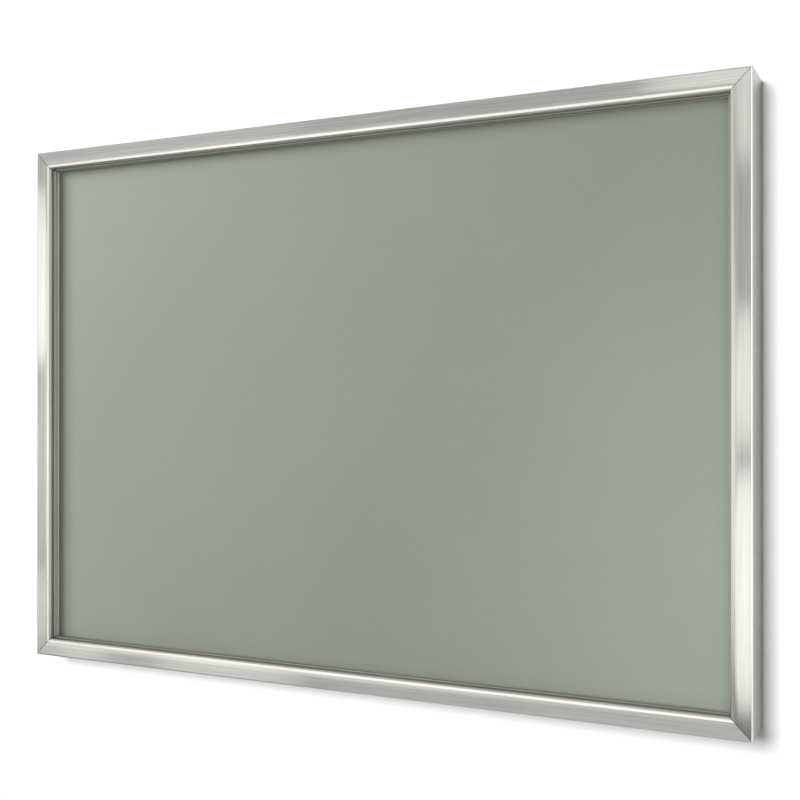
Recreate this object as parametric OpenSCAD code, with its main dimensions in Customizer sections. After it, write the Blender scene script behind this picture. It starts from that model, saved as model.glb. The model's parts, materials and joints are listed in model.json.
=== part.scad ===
// Framed cork bulletin board: a mitred metal frame and liner around a recessed cork panel,
// hung on four hook clips. Millimetres. X runs right, Z runs up and the cork faces -Y.
// Y = 0 is the wall, and the origin is the middle of the four wall screw holes.
// In each profile, p runs inward from the frame's outer side and q runs back from its face.

/* [Board] */
// Width over the frame
board_w = 890; // [500:1:1800]
// Height over the frame
board_h = 643; // [420:1:1200]

/* [Frame rails] */
// Width of the frame's face
face_w = 22; // [19:0.5:36]
// Wall of the extruded rail
rail_wall = 1.6; // [1.2:0.1:2]
// Depth of the closed nose behind the face
nose_depth = 6; // [5.6:0.1:7]
// Rounding of the outer front edge
outer_round = 2; // [0.5:0.1:4]
// Rounding of the inner front edge
inner_round = 4.5; // [1:0.1:5.4]
// Gap left between two rails at a mitre
mitre_gap = 0.2; // [0.05:0.05:0.6]

/* [Shadow groove and liner] */
// Width of the shadow groove between nose and liner
groove_w = 1.5; // [1:0.1:4]
// How far the groove runs in behind the nose
groove_depth = 3; // [1:0.5:6]
// How far the liner stands in beyond the nose
liner_step = 1.7; // [0:0.1:4]
// Depth from the face to the cork
recess_depth = 15; // [12:0.5:30]
// Wall of the liner
liner_wall = 1.2; // [0.9:0.1:2]
// Width of the liner's foot on the cork
liner_foot_w = 9; // [4:0.5:14]
// Radius of the bead along the liner's foot
bead_r = 0.8; // [0.4:0.1:0.9]
// Side gap between liner and rail
liner_fit = 0.2; // [0.1:0.05:0.5]

/* [Rear channel] */
// Depth of the channel that takes the corner keys
channel_depth = 14; // [13:0.5:24]
// Reach of the channel from the rail's outer side
channel_reach = 20; // [16:0.5:24]
// Gap between a set screw and the channel's lips
slot_fit = 0.3; // [0.1:0.1:1.5]

/* [Panel] */
// Thickness of the cork sheet
cork_t = 6; // [3:0.5:10]
// Thickness of the jute backing
jute_t = 1; // [0.5:0.1:1.6]
// Thickness of the fibre core board
core_t = 15; // [9:0.5:25]
// Thickness of the back sheet
back_t = 3; // [1.5:0.1:5]
// Gap between the panel's edge and the rail
panel_gap = 1; // [0.3:0.1:3]

/* [Corner keys] */
// Arm length of the flat key in the nose
nose_key_arm = 42; // [25:1:80]
// Thickness of the key in the rear channel
lock_key_t = 3; // [2:0.1:4]
// Distance from the last set screw to the end of the key in the rear channel
lock_key_end = 11; // [6:0.5:30]
// Gap between a key and the walls round it
key_fit = 0.2; // [0.1:0.05:0.5]
// Radius of a set screw
set_screw_r = 2.5; // [1.5:0.1:2.5]
// Length of a set screw
set_screw_len = 9.5; // [6:0.1:10.5]
// Distance from the frame's corner to the first set screw
set_screw_start = 26; // [24:0.5:32]
// Distance between two set screws on one arm
set_screw_pitch = 17; // [8:0.5:20]
// Radius of a set screw's six-sided socket
socket_r = 1.4; // [0.6:0.1:1.4]
// Depth of a set screw's socket
socket_depth = 3; // [1:0.1:4]

/* [Spring clips] */
// Room for the spring clips between the panel and the rear channel
spring_space = 3; // [1.8:0.1:6]
// Length of a bowed spring clip
spring_len = 52; // [30:1:80]
// Width of a bowed spring clip
spring_w = 10; // [5:0.5:13]
// Thickness of a bowed spring clip
spring_t = 0.8; // [0.4:0.1:1]
// Distance of a spring clip from the rail's outer side
spring_inset = 4.5; // [4:0.1:6]
// Distance from the frame's corner to the nearest spring clip's middle
spring_corner_gap = 165; // [60:1:180]

/* [Battens] */
// Height of a hanging batten
batten_h = 44; // [34:1:50]
// Gap between a batten's end and the rear channel
batten_gap = 3; // [1:0.5:20]
// Distance from a batten's end to its first screw
batten_screw_inset = 39; // [15:1:60]
// Drop of the batten screws below the batten's middle
batten_screw_drop = 13; // [10:0.5:13]
// Length of a batten screw
batten_screw_len = 25; // [18:0.5:30]
// Radius of a batten screw's shank
batten_screw_r = 2; // [1.5:0.1:2.5]
// Radius of a batten screw's head
batten_head_r = 3.8; // [3:0.1:4.2]

/* [Wall clips] */
// Distance from the frame's side to the wall screw holes
wall_hole_edge_x = 145; // [60:1:200]
// Distance from the frame's top or bottom to the wall screw holes
wall_hole_edge_z = 101.5; // [80:0.5:160]
// Radius of a wall screw hole
wall_hole_r = 2.5; // [2:0.1:3]
// Thickness of the clip's sheet metal
clip_t = 2; // [1.5:0.1:2.2]
// Width of a clip
clip_w = 52; // [46:1:80]
// Height of the clip's flat base
clip_base_h = 22; // [19:0.5:26]
// Height of the clip's hook
hook_h = 14; // [8:0.5:14]
// Distance from the clip's step to its holes
clip_hole_rise = 12; // [10:0.5:12.5]
// Gap between two hooked clips, and between a hook and what it faces
hook_gap = 0.25; // [0.15:0.05:0.4]
// Gap under a hook that rests on the other clip's step
hook_seat = 0.1; // [0.05:0.05:0.3]
// Distance between a clip's two outer holes
clip_screw_pitch = 34; // [24:1:36]
// Radius of a clip screw's shank
clip_screw_r = 1.75; // [1.2:0.05:2]
// Radius of a clip screw's head
clip_head_r = 3.4; // [2.8:0.1:3.6]
// Length of a clip screw
clip_screw_len = 13; // [7:0.5:15]

/* [Bumpers] */
// Radius of a rubber bumper
bumper_r = 3.4; // [2:0.1:3.5]
// Thickness of a rubber bumper
bumper_t = 1.5; // [1:0.1:3]
// Distance from the frame's side to a bumper
bumper_inset = 72; // [65:1:150]

/* [Hidden] */
$fn = 64;
over = 1;
screw_fit = 0.05;
screw_sink = 0.1;
head_cone_h = 1.4;
screw_tip = 2;
socket_sides = 6;
top = 1;
bottom = -1;

liner_q = nose_depth + groove_w;
liner_p = face_w + liner_step;
side_reach = max(liner_p + bead_r, channel_reach);
jute_q = recess_depth + cork_t;
core_q = jute_q + jute_t;
back_q = core_q + core_t;
panel_end_q = back_q + back_t;
channel_q = panel_end_q + spring_space;
frame_depth = channel_q + channel_depth;
total_depth = frame_depth + bumper_t;
panel_w = board_w - 2 * (rail_wall + panel_gap);
panel_h = board_h - 2 * (rail_wall + panel_gap);
wall_hole_span_x = board_w - 2 * wall_hole_edge_x;
wall_hole_span_z = board_h - 2 * wall_hole_edge_z;
clip_step = clip_t + 2 * hook_gap;
batten_end_q = total_depth - clip_step - clip_t - hook_gap;
batten_t = batten_end_q - panel_end_q;
batten_w = board_w - 2 * (channel_reach + batten_gap);
batten_screw_steps = 3;
batten_screw_pitch = (batten_w - 2 * batten_screw_inset) / batten_screw_steps;
channel_mid = channel_reach / 2;
channel_slot_w = 2 * (set_screw_r + slot_fit);
lip_w = (channel_reach - channel_slot_w) / 2;
key_inset = rail_wall + key_fit;
nose_key_t = nose_depth - 2 * key_inset;
nose_key_w = face_w - inner_round - key_inset - key_fit;
lock_key_w = channel_reach - 2 * key_inset;
lock_key_arm = set_screw_start + set_screw_pitch + lock_key_end - key_inset;

// Y of a place that lies q behind the frame's face
function y_at(q) = q - total_depth;
// Height of the step on which the hooks of one row of wall clips rest
function hook_z(row) = row * wall_hole_span_z / 2 + clip_hole_rise;
// Height of the step of the board clips in one row
function board_clip_z(row) = hook_z(row) + hook_h + hook_seat;
// Height of the screw holes of the board clips, which is the middle of the batten
function batten_z(row) = board_clip_z(row) + clip_hole_rise;

// ---------- shared forms ----------

// What is cut from a square corner at the origin to round it
module corner_waste(r) {
    difference() {
        translate([-over, -over]) square(r + over);
        translate([r, r]) circle(r);
    }
}

// A profile carried along the top side and cut at 45 degrees at both ends
module mitred_side(run, reach) {
    half = run / 2 - mitre_gap / sqrt(2);
    low = -side_reach - over;
    translate([0, y_at(0), reach]) intersection() {
        rotate([0, 90, 0]) linear_extrude(run, center = true) children();
        translate([0, frame_depth + over, 0]) rotate([90, 0, 0])
            linear_extrude(frame_depth + 2 * over)
            polygon([[-half - over, over], [half + over, over], [half + low, low], [-half - low, low]]);
    }
}

module level_side(turn) {
    rotate([0, turn, 0]) mitred_side(board_w, board_h / 2) children();
}

module upright_side(turn) {
    rotate([0, turn, 0]) mitred_side(board_h, board_w / 2) children();
}

// Repeats what stands in the top right corner in the other three corners
module in_each_corner() {
    children();
    mirror([1, 0, 0]) children();
    mirror([0, 0, 1]) children();
    rotate([0, 180, 0]) children();
}

// A round bar along Y from depth q1 to depth q2
module bar_y(x, z, q1, q2, r) {
    translate([x, y_at(q2), z]) rotate([90, 0, 0]) cylinder(h = q2 - q1, r = r);
}

// A slab centred on the Y axis
module slab(w, h, q, t) {
    translate([-w / 2, y_at(q), -h / 2]) cube([w, t, h]);
}

// A countersunk wood screw that is driven from the back towards the face
module wood_screw(x, z, q, r, head_r, len) {
    translate([x, y_at(q), z]) rotate([90, 0, 0]) rotate_extrude()
        polygon([[0, 0], [head_r, 0], [r, head_cone_h], [r, len - screw_tip], [0, len]]);
}

// The hole that a wood screw needs, open to the back
module screw_hole(x, z, q, r, head_r, len) {
    translate([x, y_at(q), z]) rotate([90, 0, 0]) rotate_extrude()
        polygon([
            [0, -over], [head_r + screw_fit, -over], [head_r + screw_fit, 0],
            [r + screw_fit, head_cone_h], [r + screw_fit, len + screw_fit], [0, len + screw_fit]
        ]);
}

// ---------- frame rails and liner ----------

// Extruded rail: outer wall, closed nose, groove rib and rear key channel
module rail_profile() {
    difference() {
        union() {
            square([rail_wall, frame_depth]);
            square([face_w, nose_depth]);
            translate([face_w - groove_depth - rail_wall, nose_depth - rail_wall])
                square([rail_wall, groove_w + rail_wall]);
            translate([0, channel_q]) square([channel_reach, channel_depth]);
        }
        corner_waste(outer_round);
        translate([face_w, 0]) mirror([1, 0]) corner_waste(inner_round);
        difference() {
            translate([rail_wall, rail_wall])
                square([face_w - 2 * rail_wall, nose_depth - 2 * rail_wall]);
            translate([face_w - rail_wall, rail_wall]) mirror([1, 0])
                corner_waste(max(inner_round - rail_wall, rail_wall / 2));
        }
        translate([rail_wall, channel_q + rail_wall])
            square([channel_reach - 2 * rail_wall, channel_depth - 2 * rail_wall]);
        translate([lip_w, channel_q + rail_wall]) square([channel_slot_w, channel_depth]);
    }
}

// Liner: a flange behind the nose, the wall beside the cork, and a foot with a bead on the cork
module liner_profile() {
    flange_p = rail_wall + liner_fit;
    translate([flange_p, liner_q]) square([liner_p - flange_p, liner_wall]);
    translate([liner_p - liner_wall, liner_q]) square([liner_wall, recess_depth - liner_q]);
    translate([liner_p - liner_foot_w, recess_depth - liner_wall]) square([liner_foot_w, liner_wall]);
    translate([liner_p, recess_depth - bead_r]) circle(bead_r);
}

module top_rail() { color("silver") level_side(0) rail_profile(); }
module bottom_rail() { color("silver") level_side(180) rail_profile(); }
module left_rail() { color("silver") upright_side(-90) rail_profile(); }
module right_rail() { color("silver") upright_side(90) rail_profile(); }
module top_liner() { color("gainsboro") level_side(0) liner_profile(); }
module bottom_liner() { color("gainsboro") level_side(180) liner_profile(); }
module left_liner() { color("gainsboro") upright_side(-90) liner_profile(); }
module right_liner() { color("gainsboro") upright_side(90) liner_profile(); }

// ---------- corner keys ----------

// A flat angle in the top right corner, with its outer edges set in from the frame's sides
module flat_angle(arm, w, q, t) {
    translate([board_w / 2 - key_inset, y_at(q + t), board_h / 2 - key_inset]) rotate([90, 0, 0])
        linear_extrude(t) polygon([[0, 0], [-arm, 0], [-arm, -w], [-w, -w], [-w, -arm], [0, -arm]]);
}

module nose_key() {
    color("lightslategray") flat_angle(nose_key_arm, nose_key_w, key_inset, nose_key_t);
}

// Puts its children on each set screw's axis in the top right corner
module at_set_screws() {
    for (step = [0, 1]) {
        along = set_screw_start + step * set_screw_pitch;
        translate([board_w / 2 - along, 0, board_h / 2 - channel_mid]) children();
        translate([board_w / 2 - channel_mid, 0, board_h / 2 - along]) children();
    }
}

module lock_key() {
    back = frame_depth - key_inset;
    color("slategray") difference() {
        flat_angle(lock_key_arm, lock_key_w, back - lock_key_t, lock_key_t);
        at_set_screws() bar_y(0, 0, back - lock_key_t - over, back + over, set_screw_r + screw_fit);
    }
}

module set_screw() {
    front = channel_q + rail_wall + screw_fit;
    back = front + set_screw_len;
    difference() {
        bar_y(0, 0, front, back, set_screw_r);
        translate([0, y_at(back + over), 0]) rotate([90, 0, 0])
            cylinder(h = socket_depth + over, r = socket_r, $fn = socket_sides);
    }
}

module nose_key_top_right() { nose_key(); }
module nose_key_top_left() { mirror([1, 0, 0]) nose_key(); }
module nose_key_bottom_right() { mirror([0, 0, 1]) nose_key(); }
module nose_key_bottom_left() { rotate([0, 180, 0]) nose_key(); }
module lock_key_top_right() { lock_key(); }
module lock_key_top_left() { mirror([1, 0, 0]) lock_key(); }
module lock_key_bottom_right() { mirror([0, 0, 1]) lock_key(); }
module lock_key_bottom_left() { rotate([0, 180, 0]) lock_key(); }
module set_screws() { color("dimgray") in_each_corner() at_set_screws() set_screw(); }

// ---------- panel ----------

// Puts its children on the axis of each batten screw
module at_batten_screws(row) {
    for (step = [0 : batten_screw_steps])
        translate([
            batten_screw_inset - batten_w / 2 + step * batten_screw_pitch,
            0,
            batten_z(row) - batten_screw_drop
        ]) children();
}

module batten_screw_hole() {
    screw_hole(0, 0, batten_end_q - screw_sink, batten_screw_r, batten_head_r, batten_screw_len);
}

module cork_sheet() { color([0.62, 0.65, 0.57]) slab(panel_w, panel_h, recess_depth, cork_t); }
module jute_backing() { color("burlywood") slab(panel_w, panel_h, jute_q, jute_t); }

module core_board() {
    color("tan") difference() {
        slab(panel_w, panel_h, core_q, core_t);
        for (row = [top, bottom]) at_batten_screws(row) batten_screw_hole();
    }
}

module back_sheet() {
    color("saddlebrown") difference() {
        slab(panel_w, panel_h, back_q, back_t);
        for (row = [top, bottom]) at_batten_screws(row) batten_screw_hole();
    }
}

// ---------- spring clips ----------

// A bowed strip under the top side's channel: its ends press on the panel, its middle on the rail
module spring_clip(x, reach) {
    rise = spring_space - spring_t - 2 * screw_fit;
    inner_r = (pow(spring_len / 2, 2) + pow(rise, 2)) / (2 * rise);
    low = reach - spring_inset - spring_w;
    translate([x, y_at(panel_end_q), low]) intersection() {
        translate([0, screw_fit + rise - inner_r, 0]) difference() {
            cylinder(h = spring_w, r = inner_r + spring_t);
            translate([0, 0, -over]) cylinder(h = spring_w + 2 * over, r = inner_r);
        }
        translate([-spring_len / 2, 0, -over]) cube([spring_len, spring_space, spring_w + 2 * over]);
    }
}

module spring_clips() {
    color("darkgray") {
        for (turn = [0, 180], step = [-1 : 1])
            rotate([0, turn, 0]) spring_clip(step * (board_w / 2 - spring_corner_gap), board_h / 2);
        for (turn = [-90, 90], step = [-1, 1])
            rotate([0, turn, 0]) spring_clip(step * (board_h / 2 - spring_corner_gap), board_w / 2);
    }
}

// ---------- hanging battens ----------

module at_clips(row) {
    for (side = [-1, 1]) translate([side * wall_hole_span_x / 2, 0, batten_z(row)]) children();
}

// Puts its children on the axes of the two screws of each board clip in one row
module at_clip_screws(row) {
    at_clips(row) for (side = [-1, 1]) translate([side * clip_screw_pitch / 2, 0, 0]) children();
}

module batten(row) {
    color("peru") difference() {
        translate([0, 0, batten_z(row)]) slab(batten_w, batten_h, panel_end_q, batten_t);
        at_batten_screws(row) batten_screw_hole();
        at_clip_screws(row)
            screw_hole(0, 0, batten_end_q + clip_t - screw_sink, clip_screw_r, clip_head_r, clip_screw_len);
    }
}

module top_batten() { batten(top); }
module bottom_batten() { batten(bottom); }

module batten_screws() {
    color("goldenrod") for (row = [top, bottom]) at_batten_screws(row)
        wood_screw(0, 0, batten_end_q - screw_sink, batten_screw_r, batten_head_r, batten_screw_len);
}

// ---------- hook clips ----------

// Bent strip from the side: base above, step at the origin, hook below and set off by clip_step
module clip_profile() {
    difference() {
        union() {
            square([clip_t, clip_base_h]);
            square([clip_step + clip_t, clip_t]);
            translate([clip_step, -hook_h]) square([clip_t, hook_h + clip_t]);
        }
        corner_waste(clip_t / 2);
        translate([clip_step + clip_t, clip_t]) rotate([0, 0, 180]) corner_waste(clip_t / 2);
    }
}

// A countersunk hole through the clip's base
module clip_hole(x, r, head_r) {
    translate([x, -over, clip_hole_rise]) rotate([-90, 0, 0]) cylinder(h = clip_t + 2 * over, r = r);
    translate([x, clip_t - head_cone_h, clip_hole_rise]) rotate([-90, 0, 0])
        cylinder(h = head_cone_h, r1 = r, r2 = head_r);
}

// The same clip serves on the board, and turned over on the wall
module hook_clip() {
    color("lightsteelblue") difference() {
        rotate([90, 0, 90]) linear_extrude(clip_w, center = true) clip_profile();
        clip_hole(0, wall_hole_r, wall_hole_r + head_cone_h);
        for (side = [-1, 1])
            clip_hole(side * clip_screw_pitch / 2, clip_screw_r + 4 * screw_fit, clip_head_r + 4 * screw_fit);
    }
}

module board_clip(side, row) {
    translate([side * wall_hole_span_x / 2, y_at(batten_end_q), board_clip_z(row)]) hook_clip();
}

module wall_clip(side, row) {
    translate([side * wall_hole_span_x / 2, 0, hook_z(row)]) rotate([180, 0, 0]) hook_clip();
}

module board_clip_top_left() { board_clip(-1, top); }
module board_clip_top_right() { board_clip(1, top); }
module board_clip_bottom_left() { board_clip(-1, bottom); }
module board_clip_bottom_right() { board_clip(1, bottom); }
module wall_clip_top_left() { wall_clip(-1, top); }
module wall_clip_top_right() { wall_clip(1, top); }
module wall_clip_bottom_left() { wall_clip(-1, bottom); }
module wall_clip_bottom_right() { wall_clip(1, bottom); }

module clip_screws() {
    color("gold") for (row = [top, bottom]) at_clip_screws(row)
        wood_screw(0, 0, batten_end_q + clip_t - screw_sink, clip_screw_r, clip_head_r, clip_screw_len);
}

// ---------- bumpers ----------

module bumper() {
    translate([board_w / 2 - bumper_inset, y_at(frame_depth), board_h / 2 - lip_w / 2])
        rotate([-90, 0, 0]) rotate_extrude() difference() {
            square([bumper_r, bumper_t]);
            translate([bumper_r, bumper_t]) rotate([0, 0, 180]) corner_waste(bumper_t / 2);
        }
}

module bumpers() { color("darkslategray") in_each_corner() bumper(); }

top_rail();
bottom_rail();
left_rail();
right_rail();
top_liner();
bottom_liner();
left_liner();
right_liner();
nose_key_top_left();
nose_key_top_right();
nose_key_bottom_left();
nose_key_bottom_right();
lock_key_top_left();
lock_key_top_right();
lock_key_bottom_left();
lock_key_bottom_right();
set_screws();
cork_sheet();
jute_backing();
core_board();
back_sheet();
spring_clips();
top_batten();
bottom_batten();
batten_screws();
board_clip_top_left();
board_clip_top_right();
board_clip_bottom_left();
board_clip_bottom_right();
clip_screws();
wall_clip_top_left();
wall_clip_top_right();
wall_clip_bottom_left();
wall_clip_bottom_right();
bumpers();
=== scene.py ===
"""Dresses the framed cork bulletin board: brushed metal, sage cork and the hanging gear behind.

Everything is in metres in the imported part's frame: X right, Z up, the cork faces -Y and the wall
is Y = 0. In an outline, p runs inward from the frame's outer side and q runs back from its face.
"""

import json
import logging
import math
from collections.abc import Callable
from dataclasses import dataclass, field
from enum import Enum

import bpy
import numpy as np
from mathutils import Matrix, Vector
from mathutils.bvhtree import BVHTree

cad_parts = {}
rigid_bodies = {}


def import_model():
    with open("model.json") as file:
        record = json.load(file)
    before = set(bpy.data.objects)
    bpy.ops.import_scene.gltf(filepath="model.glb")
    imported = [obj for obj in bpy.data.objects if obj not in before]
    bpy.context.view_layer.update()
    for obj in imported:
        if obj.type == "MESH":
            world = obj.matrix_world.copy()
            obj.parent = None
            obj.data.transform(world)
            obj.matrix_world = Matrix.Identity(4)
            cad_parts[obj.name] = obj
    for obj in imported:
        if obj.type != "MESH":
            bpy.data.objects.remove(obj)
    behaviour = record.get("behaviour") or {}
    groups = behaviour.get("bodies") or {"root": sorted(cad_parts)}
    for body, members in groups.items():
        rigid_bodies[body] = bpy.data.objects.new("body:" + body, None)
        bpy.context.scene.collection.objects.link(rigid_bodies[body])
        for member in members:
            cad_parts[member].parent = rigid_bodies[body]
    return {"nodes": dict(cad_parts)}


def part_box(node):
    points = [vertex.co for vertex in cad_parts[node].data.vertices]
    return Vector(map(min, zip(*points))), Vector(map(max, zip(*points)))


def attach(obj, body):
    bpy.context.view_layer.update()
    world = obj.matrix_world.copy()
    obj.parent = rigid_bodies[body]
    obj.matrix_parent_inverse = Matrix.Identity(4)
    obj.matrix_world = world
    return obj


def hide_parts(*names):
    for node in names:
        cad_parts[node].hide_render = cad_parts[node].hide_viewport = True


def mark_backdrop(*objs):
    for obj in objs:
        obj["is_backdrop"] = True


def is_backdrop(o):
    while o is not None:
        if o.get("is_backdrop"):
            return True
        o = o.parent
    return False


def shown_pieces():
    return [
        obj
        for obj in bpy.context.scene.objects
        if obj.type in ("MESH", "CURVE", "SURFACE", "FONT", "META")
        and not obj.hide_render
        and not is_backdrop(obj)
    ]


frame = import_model()

log = logging.getLogger("board")

MM = 0.001
BOARD = "board"

# Places in the photograph, in its own pixels: how far right, and how far down
PHOTO_SIDE = 800
POINTS = {
    "left_edge": (37.0, None),
    "right_edge": (762.3, None),
    "top_edge": (None, 65.5),
    "bottom_edge": (None, 742.8),
    "corner_top_left": (37.3, 154.2),
    "corner_bottom_left": (36.9, 653.7),
    "corner_top_right": (752.6, 65.5),
    "corner_bottom_right": (752.2, 742.8),
    "back_top_right": (762.5, 80.6),
    "back_bottom_right": (762.0, 727.5),
    "nose_top_right": (729.0, 91.0),
    "nose_bottom_right": (729.0, 717.5),
    "cork_top_left": (60.0, 172.0),
    "cork_bottom_left": (59.5, 635.5),
    "glint_left": (42.0, 277.0),
    "glint_bottom_corner": (42.0, 632.0),
    "glint_bottom": (185.0, 664.0),
    "glint_right_low": (741.0, 591.0),
    "glint_right_middle": (741.0, 378.0),
    "glint_top_corner": (732.0, 76.0),
}


# ---------- a small language for node trees ----------


def arithmetic(operation: str, swapped: bool = False) -> Callable:
    """Makes the method behind one sign of arithmetic.

    Args:
        operation: the Math node's operation.
        swapped: whether the wire stands on the right of the sign.

    Returns:
        A method that takes the other value and gives a new wire.
    """

    def apply(self: "Wire", other: "Wire | float") -> "Wire":
        """Joins this wire and the other value through one Math node."""
        pair = (other, self) if swapped else (self, other)
        return self.bench.wire("ShaderNodeMath", {"operation": operation}, dict(enumerate(pair)))

    return apply


class Wire:
    """One output of a node, written in formulas like a number."""

    def __init__(self, bench: "Bench", socket: bpy.types.NodeSocket) -> None:
        """Holds the output and the bench that its node stands on."""
        self.bench = bench
        self.socket = socket

    __add__, __radd__ = arithmetic("ADD"), arithmetic("ADD", swapped=True)
    __sub__, __rsub__ = arithmetic("SUBTRACT"), arithmetic("SUBTRACT", swapped=True)
    __mul__, __rmul__ = arithmetic("MULTIPLY"), arithmetic("MULTIPLY", swapped=True)
    __truediv__, __rtruediv__ = arithmetic("DIVIDE"), arithmetic("DIVIDE", swapped=True)
    __pow__ = arithmetic("POWER")
    larger = arithmetic("MAXIMUM")
    smaller = arithmetic("MINIMUM")

    def through(self, operation: str) -> "Wire":
        """Sends this wire alone through a Math node."""
        return self.bench.wire("ShaderNodeMath", {"operation": operation}, {0: self})


Value = Wire | float | tuple

# Where nearly all values of cloudy noise lie
CLOUDY = (0.3, 0.7)


class Bench:
    """The node tree of one material or of the world, and the ways in which a finish adds to it."""

    def __init__(self, owner: bpy.types.Material | bpy.types.World) -> None:
        """Clears the owner's node tree.

        Args:
            owner: the material or the world.
        """
        owner.use_nodes = True
        self.tree = owner.node_tree
        self.tree.nodes.clear()

    def node(
        self, kind: str, settings: dict | None = None, inputs: dict | None = None
    ) -> bpy.types.Node:
        """Makes any node.

        Args:
            kind: the node's type.
            settings: its own properties, which are set first.
            inputs: values or wires by the input's name or number.

        Returns:
            The node.
        """
        made = self.tree.nodes.new(kind)
        for name, value in (settings or {}).items():
            setattr(made, name, value)
        for name, value in (inputs or {}).items():
            if isinstance(value, Wire):
                self.tree.links.new(value.socket, made.inputs[name])
            else:
                made.inputs[name].default_value = value
        return made

    def wire(
        self,
        kind: str,
        settings: dict | None = None,
        inputs: dict | None = None,
        output: int | str = 0,
    ) -> Wire:
        """Makes a node and gives one of its outputs, the first unless another is named."""
        return Wire(self, self.node(kind, settings, inputs).outputs[output])

    def place(self) -> Wire:
        """The place on the object, in metres."""
        return self.wire("ShaderNodeTexCoord", output="Object")

    def sewn(self) -> Wire:
        """The piece's own UV map: metres along the piece and metres round it."""
        return self.wire("ShaderNodeTexCoord", output="UV")

    def parts(self, vector: Wire) -> tuple[Wire, Wire, Wire]:
        """The three numbers of a vector."""
        node = self.node("ShaderNodeSeparateXYZ", inputs={0: vector})
        return tuple(Wire(self, node.outputs[k]) for k in range(3))

    def stretched(self, vector: Wire, by: tuple, shift: tuple = (0, 0, 0)) -> Wire:
        """The vector times one factor for each axis, plus a shift."""
        settings = {"operation": "MULTIPLY_ADD"}
        return self.wire("ShaderNodeVectorMath", settings, {0: vector, 1: by, 2: shift})

    def noise(self, vector: Wire, scale: float, detail: float = 2.0, rough: float = 0.5) -> Wire:
        """Cloudy noise from 0 to 1, with its grain 1 / scale wide."""
        inputs = {"Vector": vector, "Scale": scale, "Detail": detail, "Roughness": rough}
        return self.wire("ShaderNodeTexNoise", inputs=inputs, output=0)

    def cells(
        self, vector: Wire, scale: float, feature: str = "F1", output: str = "Distance"
    ) -> Wire:
        """A pattern of cells, each about 1 / scale wide."""
        inputs = {"Vector": vector, "Scale": scale}
        return self.wire("ShaderNodeTexVoronoi", {"feature": feature}, inputs, output)

    def spread(self, value: Wire, low: float, high: float, start: float, end: float) -> Wire:
        """Carries the values from low to high onto those from start to end, and stops there.

        Args:
            value: the wire.
            low: the value that becomes start.
            high: the value that becomes end.
            start: where the new values begin.
            end: where they end.

        Returns:
            The new wire.
        """
        inputs = {"Value": value, "From Min": low, "From Max": high}
        inputs |= {"To Min": start, "To Max": end}
        return self.wire("ShaderNodeMapRange", {"clamp": True}, inputs)

    def about(self, noise: Wire, middle: float, swing: float) -> Wire:
        """Carries cloudy noise onto the values within a swing of a middle one."""
        return self.spread(noise, *CLOUDY, middle - swing, middle + swing)

    def blend(self, share: Value, first: Value, second: Value) -> Wire:
        """Mixes two colours: all first at share 0, all second at share 1."""
        inputs = {0: share, 6: first, 7: second}
        return self.wire("ShaderNodeMix", {"data_type": "RGBA"}, inputs, 2)

    def shaded(self, colour: Value, amount: Value) -> Wire:
        """The colour times a number."""
        inputs = {0: colour, "Scale": amount}
        return self.wire("ShaderNodeVectorMath", {"operation": "SCALE"}, inputs)

    def bump(self, height: Wire, strength: float, distance: float) -> Wire:
        """A normal bent by a height from 0 to 1 that stands for the distance in metres."""
        inputs = {"Height": height, "Strength": strength, "Distance": distance}
        return self.wire("ShaderNodeBump", inputs=inputs)

    def skin(self, inputs: dict) -> bpy.types.Node:
        """Makes the one surface shader of a finish and joins it to the output.

        Args:
            inputs: values or wires by the shader's input.

        Returns:
            The shader's node.
        """
        shader = self.node("ShaderNodeBsdfPrincipled", inputs=inputs)
        self.close(Wire(self, shader.outputs[0]))
        return shader

    def close(self, surface: Wire, kind: str = "ShaderNodeOutputMaterial") -> None:
        """Joins the last shader to the output."""
        self.node(kind, inputs={"Surface": surface})


def opaque(red: float, green: float, blue: float) -> tuple[float, float, float, float]:
    """A linear colour with full cover."""
    return (red, green, blue, 1.0)


# ---------- finishes ----------


@dataclass(frozen=True)
class Finish:
    """A material: its name, its main colour and how rough it is."""

    name: str
    colour: tuple[float, float, float]
    roughness: float = 0.5

    def made(self) -> bpy.types.Material:
        """Makes the material.

        Returns:
            The material, with its nodes.
        """
        material = bpy.data.materials.new(self.name)
        material.diffuse_color = opaque(*self.colour)
        self.mix(Bench(material))
        return material

    def mix(self, bench: Bench) -> None:
        """Lays out the nodes; each finish has its own."""
        raise NotImplementedError


class Grain(Enum):
    """Which way the brushing runs, as the turn of the shader's rough direction."""

    LEVEL = 0.25
    UPRIGHT = 0.0


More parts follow.
